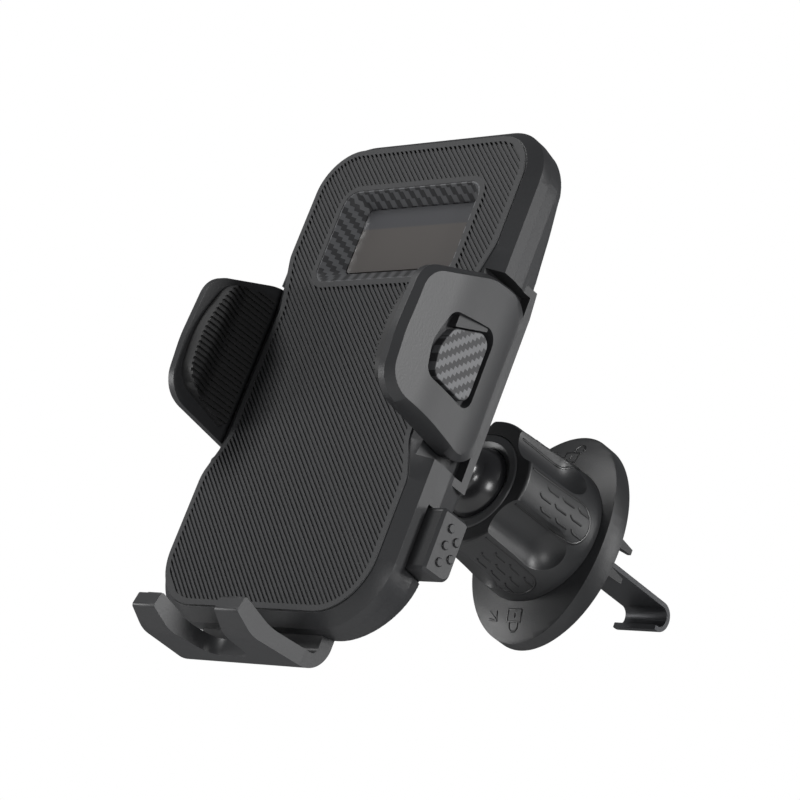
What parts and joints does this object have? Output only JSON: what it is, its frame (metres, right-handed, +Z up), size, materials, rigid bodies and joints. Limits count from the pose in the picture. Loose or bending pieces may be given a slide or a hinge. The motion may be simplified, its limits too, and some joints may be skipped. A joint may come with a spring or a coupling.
{
  "type": "air vent phone holder",
  "caption": "Phone holder for a car air vent: ribbed clamping head with side jaws and a sliding foot, on a ball joint with a twist-lock knob, oval base and blade hook.",
  "frame": {"origin": "centre of the base pad's rear face, which meets the vent", "axes": "+X to the right of someone facing the pad, +Y back into the vent, +Z up"},
  "size_m": [0.075, 0.1281, 0.1209],
  "materials": {
    "shell": "fine satin",
    "pad_rubber": "ribbed matt",
    "carbon": "woven look",
    "smoked": "smoked",
    "ball": "polished",
    "knob": "satin",
    "steel": "black coated",
    "bright_steel": "plain",
    "inner": "natural"
  },
  "bodies": {
    "base": {"base_disc": "knob", "base_pad": "pad_rubber", "socket_core": "inner", "base_screws": "bright_steel", "socket_ring": "knob"},
    "knob": {"twist_sleeve": "knob"},
    "hook": {"hook": "steel", "hook_carrier": "inner"},
    "cup": {"friction_cup": "inner"},
    "stud": {"ball_stud": "ball"},
    "head": {"front_shell": "shell", "back_shell": "shell", "front_pad": "pad_rubber", "window_frame": "carbon", "window_plate": "smoked", "stud_retainer": "inner", "gear_axle": "bright_steel", "opening_spring": "bright_steel", "housing_screws": "bright_steel"},
    "pinion": {"pinion_gear": "inner"},
    "right_jaw": {"right_jaw_shell": "shell", "right_jaw_pad": "pad_rubber", "right_jaw_inlay": "carbon", "right_rack_arm": "inner"},
    "left_jaw": {"left_jaw_shell": "shell", "left_jaw_pad": "pad_rubber", "left_jaw_inlay": "carbon", "left_rack_arm": "inner"},
    "pawl": {"lock_pawl": "inner"},
    "right_button": {"right_button": "shell", "right_button_spring": "bright_steel"},
    "left_button": {"left_button": "shell", "left_button_spring": "bright_steel"},
    "foot": {"foot": "shell", "foot_liner": "pad_rubber"}
  },
  "joints": [
    {"name": "knob_twist", "type": "hinge", "parent": "base", "child": "knob", "pos_m": [0, 0, 0], "axis": [0, 1, 0], "range_deg": [0, 1440]},
    {"name": "hook_slide", "type": "slide", "parent": "base", "child": "hook", "axis": [0, -1, 0], "range_m": [0, 0.008]},
    {"name": "head_pan", "type": "hinge", "parent": "base", "child": "cup", "pos_m": [0, -0.0283, 0], "axis": [0, 0, 1], "range_deg": [-22, 22]},
    {"name": "head_tilt", "type": "hinge", "parent": "cup", "child": "stud", "pos_m": [0, -0.0283, 0], "axis": [1, 0, 0], "range_deg": [-22, 22]},
    {"name": "head_roll", "type": "hinge", "parent": "stud", "child": "head", "pos_m": [0, -0.0283, 0], "axis": [0, 1, 0], "continuous": true},
    {"name": "right_jaw_slide", "type": "slide", "parent": "head", "child": "right_jaw", "axis": [1, 0, 0], "range_m": [0, 0.0168]},
    {"name": "left_jaw_slide", "type": "slide", "parent": "head", "child": "left_jaw", "axis": [-1, 0, 0], "range_m": [0, 0.0168]},
    {"name": "pinion_turn", "type": "hinge", "parent": "head", "child": "pinion", "pos_m": [0, -0.0667, 0.0035], "axis": [0, 1, 0], "range_deg": [-165, 165]},
    {"name": "right_button_press", "type": "slide", "parent": "head", "child": "right_button", "axis": [-1, 0, 0], "range_m": [0, 0.0025], "stiffness_N_per_m": 400},
    {"name": "left_button_press", "type": "slide", "parent": "head", "child": "left_button", "axis": [1, 0, 0], "range_m": [0, 0.0025], "stiffness_N_per_m": 400},
    {"name": "pawl_swing", "type": "hinge", "parent": "head", "child": "pawl", "pos_m": [0.0125, -0.0661, -0.016], "axis": [0, 1, 0], "range_deg": [0, 13]},
    {"name": "foot_slide", "type": "slide", "parent": "head", "child": "foot", "axis": [0, 0, -1], "range_m": [0, 0.018]}
  ],
  "couplings": [
    {"joint": "hook_slide", "follows": "knob_twist", "m_per_rad": 0.0003183},
    {"joint": "left_jaw_slide", "follows": "right_jaw_slide", "ratio": 1},
    {"joint": "pinion_turn", "follows": "right_jaw_slide", "rad_per_m": -166.67},
    {"joint": "pawl_swing", "follows": "right_button_press", "rad_per_m": 84}
  ]
}
